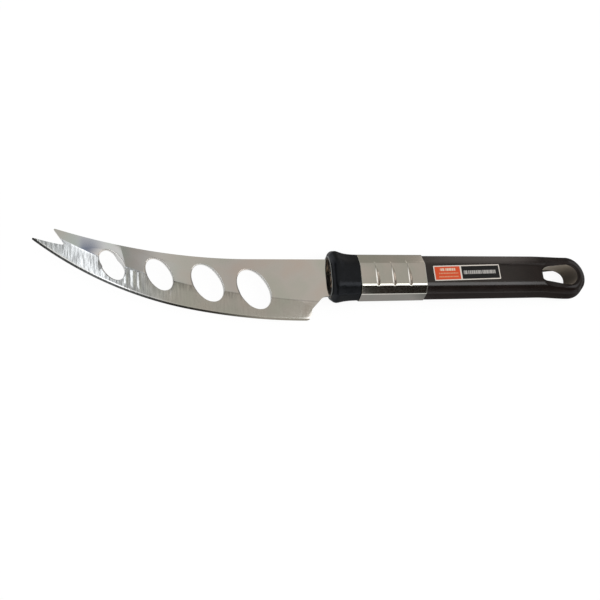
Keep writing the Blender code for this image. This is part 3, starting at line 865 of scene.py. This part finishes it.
def makeCollar():
    values = {**sectionInputs(collar["neckWidth"], section["height"]),
              **lengths(collar, "flatEdgeRadius", "mouthWidth", "mouthHeight", "mouthDepth", "flashRadius",
                        "front", "ridgeRadius"),
              "flashSeed": 3.0, "plastic": collarPlastic()}
    tree, add, given, result = newTree("mouldedCollar", values)
    sizes = collarSizes(collar["stations"])
    outline = sectionTree(add, given, collar["spacing"] * mm)
    tube = sweepTree(add, outline, len(sizes) * 2, True)
    parts = add("SeparateXYZ", add("InputPosition")).node.outputs
    curves = []
    scales = (collar["length"], 2 * collar["peakWidth"], 2 * collar["peakHeight"])
    for axis, scale in enumerate(scales):
        curve = add("FloatCurve", {1: parts["Z"]})
        setCurve(curve, [(i / (len(sizes) - 1), size[axis] / scale) for i, size in enumerate(sizes)])
        curves.append(product(add, curve, scale))
    ahead = product(add, curves[0], mm)
    wide = product(add, curves[1], 1 / collar["neckWidth"])
    tall = product(add, curves[2], 1 / section["height"])
    # the flare leans towards the spine more than the neck does
    flared = add("MapRange", wide, 1.0, collar["peakWidth"] / collar["neckWidth"], collar["offset"] * mm,
                 collar["peakOffset"] * mm)
    lipEnd = (collar["front"] + collar["lipLength"]) * mm
    atLip = add("Math", ahead, lipEnd, operation="LESS_THAN")
    aside = add("Mix", {0: atLip, 2: flared, 3: collar["peakOffset"] * mm})
    across = add("Math", parts["X"], wide, aside, operation="MULTIPLY_ADD")
    spot = add("CombineXYZ", ahead, across, product(add, parts["Y"], tall))
    # the hollow front face is smeared, most of all towards the spine
    ring = 1 / (len(sizes) - 1)
    onFace = product(add, add("MapRange", parts["Z"], 0.7 * ring, 0.98 * ring, 1, 0),
                     add("MapRange", across, 1.5 * mm, 5 * mm, 0.1, 1))
    tube = add("StoreNamedAttribute", {"Geometry": tube, "Name": "smear", "Value": onFace})
    body = add("SetPosition", {"Geometry": tube, "Position": spot})

    twice = product(add, given["mouthDepth"], 2.0)
    mouth = add("MeshCube", add("CombineXYZ", twice, given["mouthHeight"], given["mouthWidth"]))
    mouth = add("Transform", {"Geometry": mouth, "Translation": add("CombineXYZ", given["front"])})
    body = add("MeshBoolean", body, mouth, operation="DIFFERENCE", solver="EXACT")
    at = add("InputPosition")

    # thin ridge where the front face meets the lip
    faceWidth, faceHeight = (collar[k] - 2 * collar["lipDrop"] for k in ("peakWidth", "peakHeight"))
    shrunk = (faceWidth / collar["neckWidth"], faceHeight / section["height"], 0)
    ridge = add("VectorMath", at, shrunk, operation="MULTIPLY")
    ridge = add("SeparateXYZ", ridge).node.outputs
    aside = add("Math", ridge["X"], collar["peakOffset"] * mm, operation="ADD")
    ridge = add("CombineXYZ", given["front"], aside, ridge["Y"])
    ridge = add("SetPosition", {"Geometry": outline, "Position": ridge})
    dot = add("CurvePrimitiveCircle", {"Resolution": 8, "Radius": given["ridgeRadius"]})
    ridge = add("CurveToMesh", {"Curve": ridge, "Profile Curve": dot})
    # the ridge carries the painted highlight
    ridge = add("StoreNamedAttribute", {"Geometry": ridge, "Name": "worn", "Value": 1.0})

    # flash: a rough bead along the mouth's rim
    rim = add("CurvePrimitiveQuadrilateral", {"Width": given["mouthWidth"], "Height": given["mouthHeight"]})
    rim = add("FilletCurve", {"Curve": rim, "Count": 4, "Radius": 0.0006}, mode="POLY")
    rim = add("ResampleCurve", {"Curve": rim, "Count": 200})
    ripple = add("TexNoise", {"Vector": at, "W": given["flashSeed"], "Scale": 420.0, "Detail": 2.0}, out=1,
                 noise_dimensions="4D")
    shake = add("VectorMath", ripple, (0.5, 0.5, 0.5), operation="SUBTRACT")
    shake = add("VectorMath", shake, Vector(collar["flashShake"]) * mm, operation="MULTIPLY")
    rim = add("SetPosition", {"Geometry": rim, "Offset": shake})
    lump = add("TexNoise", {"Vector": at, "W": 7.0, "Scale": 300.0, "Detail": 1.0}, noise_dimensions="4D")
    thick = add("MapRange", lump, 0.3, 0.7, 0.35, 1.7)
    dot = add("CurvePrimitiveCircle", {"Resolution": 10, "Radius": given["flashRadius"]})
    bead = add("CurveToMesh", {"Curve": rim, "Profile Curve": dot, "Scale": thick})
    where = add("SeparateXYZ", at).node.outputs
    deep, floorWide, _ = collar["dish"]
    faceHalf = faceWidth / 2 * mm
    outer = add("Math", where["Y"], operation="ABSOLUTE")
    sunk = add("MapRange", outer, faceHalf * floorWide, faceHalf, deep * mm, 0.0)
    ahead = add("Math", add("Math", where["Z"], given["front"], operation="ADD"), sunk, operation="ADD")
    laid = add("CombineXYZ", ahead, where["Y"], where["X"])
    bead = add("SetPosition", {"Geometry": bead, "Position": laid})
    bead = add("StoreNamedAttribute", {"Geometry": bead, "Name": "smear", "Value": 1.0})
    moved = add("JoinGeometry", [body, bead, ridge])
    moved = add("Transform", {"Geometry": moved, "Translation": knifeShift})
    moved = add("RealizeInstances", moved)
    moved = add("SetMaterial", {"Geometry": moved, "Material": given["plastic"]})
    fill(result, {0: moved})
    piece = runTree("collarMoulded", tree, values)
    rework(piece.data, 1e-6)
    dress(piece, "collar", values["plastic"], 55)


makeCollar()


handle = {
    "flatEdgeRadius": 6.5,
    "start": 48.0,
    "length": 141.2,
    "tailRadius": 11.05,
    "tailOffset": -0.8,
    "swellRun": 19.0,
    "blendStart": 85,   # from here the middle of the flats leads to the hole's
    "tailHeight": 11.4,
    "tailFacetShare": 0.72,   # of the grip's own chamfer, on the spine side
    "tailBellyShare": 0.83,
    "holeSetback": 17.5,
    "holeLength": 21.0,
    "holeWidth": 11.6,
    "holeOffset": -0.5,
    "holeRound": 0.7,
    "holeRoundBelow": 0.2,
    "holeSquareness": (0.66, 0.88),   # power of the oval towards the collar and the tail
    "straightStations": 64,
    "tailStations": 128,
    "flatSteps": 8,   # across the flats, round the rims and down the hole's wall
    "rimSteps": 8,
    "wallSteps": 5,
    # painted light on the hole's wall: pale on the collar's side, darkening as painted shade towards the tail's
    # end
    "wallTones": [(0.0, "#eae7e2"), (0.4, "#d2cabe"), (0.75, "#a89d8f"), (1.0, "#4a443f")],
    "wallSpan": (28, 6),   # from the tail's end
    "dulledSpan": (46, 14),
}


def roundedLine(corners, steps):
    # open line through (point, radius) corners, with an arc at each corner that has a radius
    line = []
    for i, (corner, radius) in enumerate(corners):
        corner = Vector(corner)
        if radius == 0:
            line.append(corner)
            continue
        before = (Vector(corners[i - 1][0]) - corner).normalized()
        after = (Vector(corners[i + 1][0]) - corner).normalized()
        half = before.angle(after) / 2
        middle = corner + (before + after).normalized() * (radius / sin(half))
        first = corner + before * (radius / tan(half)) - middle
        last = corner + after * (radius / tan(half)) - middle
        start = atan2(first.y, first.x)
        turn = (atan2(last.y, last.x) - start + pi) % (2 * pi) - pi
        line += [middle + Vector((cos(start + turn * k / steps), sin(start + turn * k / steps))) * radius
                 for k in range(steps + 1)]
    return line


def sideProfile(drop, inset):
    # (inset, height) from the lower flat round the side to the upper flat
    half, top = section["width"] / 2, section["height"] / 2
    flatInset = half - section["flat"] / 2
    facet = top - drop
    corners = [((half, -top), 0), ((flatInset, -top), handle["flatEdgeRadius"]),
               ((inset, -facet), section["facetEdgeRadius"]), ((0, 0), section["sideRadius"]),
               ((inset, facet), section["facetEdgeRadius"]),
               ((flatInset, top), handle["flatEdgeRadius"]), ((half, top), 0)]
    line = roundedLine(corners, 8)[1:-1]
    cut = min(spot.x for spot in line)
    return [Vector((spot.x - cut * (1 - spot.x / half), spot.y)) for spot in line]


def swell(x):
    return easeInOut((x - (handle["length"] - handle["tailRadius"] - handle["swellRun"])) / handle["swellRun"])


def flatHeight(x):
    return section["height"] / 2 * (1 + (handle["tailHeight"] / section["height"] - 1) * swell(x))


def ovalPoint(angle, grow):
    c, s = cos(angle), sin(angle)
    power = handle["holeSquareness"][1 if c >= 0 else 0]
    x = handle["length"] - handle["holeSetback"]
    x += (handle["holeLength"] / 2 + grow) * abs(c) ** power * (1 if c >= 0 else -1)
    y = handle["holeOffset"] + (handle["holeWidth"] / 2 + grow) * abs(s) ** power * (1 if s >= 0 else -1)
    return Vector((x, y))


def gripStations():
    # (outline point, outward normal, inner point, hole angle or None) round the grip
    half = section["width"] / 2
    radius, offset = handle["tailRadius"], handle["tailOffset"]
    tailX = handle["length"] - radius
    holeStart = ovalPoint(pi, handle["holeRound"]).x
    blend = handle["blendStart"]

    def outlineAt(x, side):
        return side * (half + (radius + side * offset - half) * swell(x))

    def straightSide(places, side):
        found = []
        for x in places:
            middle = (outlineAt(x, 1) + outlineAt(x, -1)) / 2
            middle += (handle["holeOffset"] - middle) * easeInOut((x - blend) / (holeStart - blend))
            found.append((Vector((x, outlineAt(x, side))), Vector((0, side)), Vector((x, middle)), None))
        return found

    start, count = handle["start"], handle["straightStations"]
    straight = [start + (holeStart - start) * i / count for i in range(count)]
    run, arcRun = tailX - holeStart, pi * radius
    tail = []
    for i in range(handle["tailStations"] + 1):
        share = i / handle["tailStations"]
        walked = share * (2 * run + arcRun)
        side = 1 if walked < run + arcRun / 2 else -1
        if run <= walked <= run + arcRun:
            a = pi / 2 - (walked - run) / radius
            normal = Vector((cos(a), sin(a)))
            point = Vector((tailX, offset)) + normal * radius
        else:
            x = holeStart + min(walked, 2 * run + arcRun - walked)
            point, normal = Vector((x, outlineAt(x, side))), Vector((0, side))
        angle = pi - 2 * pi * share
        tail.append((point, normal, ovalPoint(angle, handle["holeRound"]), angle))
    return straightSide(straight, 1) + tail + straightSide(reversed(straight), -1)


def handlePlastic():
    # polypropylene, injection moulded: very dark brown, satin, with a fine eggshell texture
    material, add, shader = newMaterial("brownMouldedPolypropylene")
    place = add("TexCoord", out=3)
    clouds = add("TexNoise", {"Vector": place, "Scale": 120.0, "Detail": 3.0})
    fine = add("TexNoise", {"Vector": place, "Scale": 1500.0, "Detail": 2.0})
    tint = ramp(add, clouds, [(0.3, "#1c1614"), (0.7, "#241c19")])
    dull = add("Attribute", out=2, attribute_name="dull")
    # painted light inside the hole, the wall pale where it is lit and darker towards the tail
    inHole = add("MapRange", dull, 0.85, 1.0)
    along = add("SeparateXYZ", place)
    wall = add("MapRange", along, *(handleHigh.x - x * mm for x in handle["wallSpan"]))
    wall = ramp(add, wall, handle["wallTones"])
    tint = paintOver(add, tint, (inHole, wall))
    gloss = add("Math", dull, 0.4, add("MapRange", clouds, 0, 1, 0.12, 0.2), operation="MULTIPLY_ADD")
    # handling has dulled the tail's end
    worn = add("MapRange", along, *(handleHigh.x - x * mm for x in handle["dulledSpan"]), 0.5, 0.16)
    fill(shader, {"Base Color": tint, "Roughness": gloss, "Specular IOR Level": worn,
                  "Normal": add("Bump", {"Strength": 0.1, "Distance": 0.0001, "Height": fine})})
    return material


def makeHandle():
    spineSide = sideProfile(section["facetDrop"], section["facetInset"])
    bellySide = sideProfile(section["bellyDrop"], section["bellyInset"])
    flatSteps, rimSteps, wallSteps = (handle[k] for k in ("flatSteps", "rimSteps", "wallSteps"))
    points, shellRows, rimRows = [], [], []
    for point, normal, inner, angle in gripStations():
        turned = easeInOut(-normal.y)
        share = handle["tailFacetShare"] + (handle["tailBellyShare"] - handle["tailFacetShare"]) * turned
        share = 1 - (1 - share) * swell(point.x)
        profile = [a + (b - a) * turned for a, b in zip(spineSide, bellySide)]
        row = []
        for inset, z in profile:
            spot = point - normal * inset * share
            row.append((spot.x, spot.y, z * flatHeight(spot.x) / (section["height"] / 2)))
        edge = point - normal * profile[0][0] * share
        lower = inner if angle is None else ovalPoint(angle, handle["holeRoundBelow"])
        for k in range(1, flatSteps + 1):
            spot = edge + (inner - edge) * (k / flatSteps)
            row.append((spot.x, spot.y, flatHeight(spot.x)))
            spot = edge + (lower - edge) * (k / flatSteps)
            row.insert(0, (spot.x, spot.y, -flatHeight(spot.x)))
        shellRows.append(range(len(points), len(points) + len(row)))
        points += row
        if angle is None:
            continue
        rim, foot = [], []
        for size, start, arc in ((handle["holeRound"], inner, rim), (handle["holeRoundBelow"], lower, foot)):
            for k in range(rimSteps + 1):
                a = pi / 2 * k / rimSteps
                spot = ovalPoint(angle, size * (1 - sin(a)))
                arc.append((spot.x, spot.y, flatHeight(start.x) - size * (1 - cos(a))))
        high, low = rim[-1][2], -foot[-1][2]
        rim += [(spot.x, spot.y, high + (low - high) * k / wallSteps) for k in range(1, wallSteps)]
        rim += [(x, y, -z) for x, y, z in reversed(foot)]
        rimRows.append(range(len(points), len(points) + len(rim)))
        points += rim
    faces = []
    for rows in (shellRows, rimRows):
        for a, b in zip(rows, rows[1:]):
            faces += [(a[i], b[i], b[i + 1], a[i + 1]) for i in range(len(a) - 1)]
    mesh = bpy.data.meshes.new("handleMoulded")
    mesh.from_pydata([Vector(p) * mm + knifeShift for p in points], [], faces)
    dull = mesh.attributes.new("dull", "FLOAT", "POINT")
    for rim in rimRows:
        for k, index in enumerate(rim):
            above, below = (k - 1) / 5, (len(rim) - 1 - k) / 2
            dull.data[index].value = min(max(min(above, below), 0.0), 1.0)

    def closeUp(work):
        bmesh.ops.dissolve_degenerate(work, edges=work.edges, dist=1e-6)
        bmesh.ops.holes_fill(work, edges=[e for e in work.edges if len(e.link_faces) == 1], sides=0)

    rework(mesh, 2e-6, closeUp)
    dress(toScene("handleMoulded", mesh), "handle", handlePlastic(), 50)


makeHandle()


label = {
    "turn": 1.3,   # degrees askew
    "narrower": 0.35,
    "corner": 0.4,
    "cornerSteps": 5,
    "border": 0.5,
    "divider": (14.1, 14.9),   # from the front end
    "paper": "#efe7dc",
    "warm": "#e45224",
    "dark": "#0e0d0c",
    "bars": [   # along, across, ink, pitch of the gaps
        ((3.0, 11.6), (4.8, 6.1), "#efd6bd", 1.25), ((2.4, 12.9), (3.3, 3.9), "#e8a57e", 0.9),
        ((2.4, 12.9), (1.6, 2.2), "#e8a57e", 0.8), ((15.9, 33.6), (2.9, 4.7), "#b8b4af", 1.15)],
}


def labelFilm(long, tall):
    # printed polypropylene film: satin, two plain fields of ink with pale bars inside a bare border
    material, add, shader = newMaterial("printedLabelFilm")
    place = add("TexCoord", out=3)
    sheet = add("UVMap", uv_map="sheet")
    sheet = add("VectorMath", sheet, (long, tall, 0), operation="MULTIPLY")
    axes = add("SeparateXYZ", sheet).node.outputs
    edge = label["border"]
    first, second = label["divider"]
    fields = [((edge, first), (edge, tall - edge), label["warm"], None),
              ((second, long - edge), (edge, tall - edge), label["dark"], None)]
    paint = colour(label["paper"])
    for xs, ys, ink, pitch in fields + label["bars"]:
        masks = []
        for axis, (low, high) in ((axes["X"], xs), (axes["Y"], ys)):
            off = add("Math", axis, (low + high) / 2, operation="SUBTRACT")
            off, half = add("Math", off, operation="ABSOLUTE"), (high - low) / 2
            masks.append(add("MapRange", off, half + 0.06, half - 0.06))
        mask = product(add, *masks)
        if pitch:
            # uneven blocks: the gaps wander a little along the bar
            wander = add("TexNoise", {"W": axes["X"], "Scale": 0.9, "Detail": 0.0}, noise_dimensions="1D")
            beat = add("Math", axes["X"], 1 / pitch, wander, operation="MULTIPLY_ADD")
            beat = add("Math", beat, operation="FRACT")
            mask = product(add, mask, add("MapRange", beat, 0.14, 0.34))
        paint = paintOver(add, paint, (mask, ink))
    wave = add("TexNoise", {"Vector": place, "Scale": 180.0, "Detail": 1.0})
    fill(shader, {"Base Color": paint, "Specular IOR Level": 0.22,
                  "Roughness": add("MapRange", wave, 0, 1, 0.34, 0.5),
                  "Normal": add("Bump", {"Strength": 0.3, "Distance": 0.0002, "Height": wave})})
    return material


def makeLabel():
    # a thin film with rounded corners on the grip's upper flat
    long = (labelHigh.x - labelLow.x) / mm
    tall = (labelHigh.y - labelLow.y) / mm - label["narrower"]
    corner = label["corner"]
    right, top, steps = long - corner, tall - corner, label["cornerSteps"]
    outline = []
    for k, centre in enumerate(((right, top), (corner, top), (corner, corner), (right, corner))):
        turns = [pi / 2 * (k + i / steps) for i in range(steps + 1)]
        outline += [Vector(centre) + corner * Vector((cos(a), sin(a))) for a in turns]
    middle = (labelLow + labelHigh) / 2
    spin = Matrix.Rotation(radians(label["turn"]), 2)
    count = len(outline)
    points = []
    for level in (labelLow.z, labelHigh.z):
        for spot in outline:
            turned = spin @ (spot - Vector((long, tall)) / 2) * mm
            points.append((middle.x + turned.x, middle.y + turned.y, level))
    faces = [tuple(range(count, 2 * count)), tuple(reversed(range(count)))]
    faces += [(i, (i + 1) % count, (i + 1) % count + count, i + count) for i in range(count)]
    mesh = bpy.data.meshes.new("labelFilm")
    mesh.from_pydata(points, [], faces)
    sheet = mesh.uv_layers.new(name="sheet")
    for loop in mesh.loops:
        spot = outline[loop.vertex_index % count]
        sheet.data[loop.index].uv = (spot.x / long, spot.y / tall)
    dress(toScene("labelFilm", mesh), "label", labelFilm(long, tall))


makeLabel()
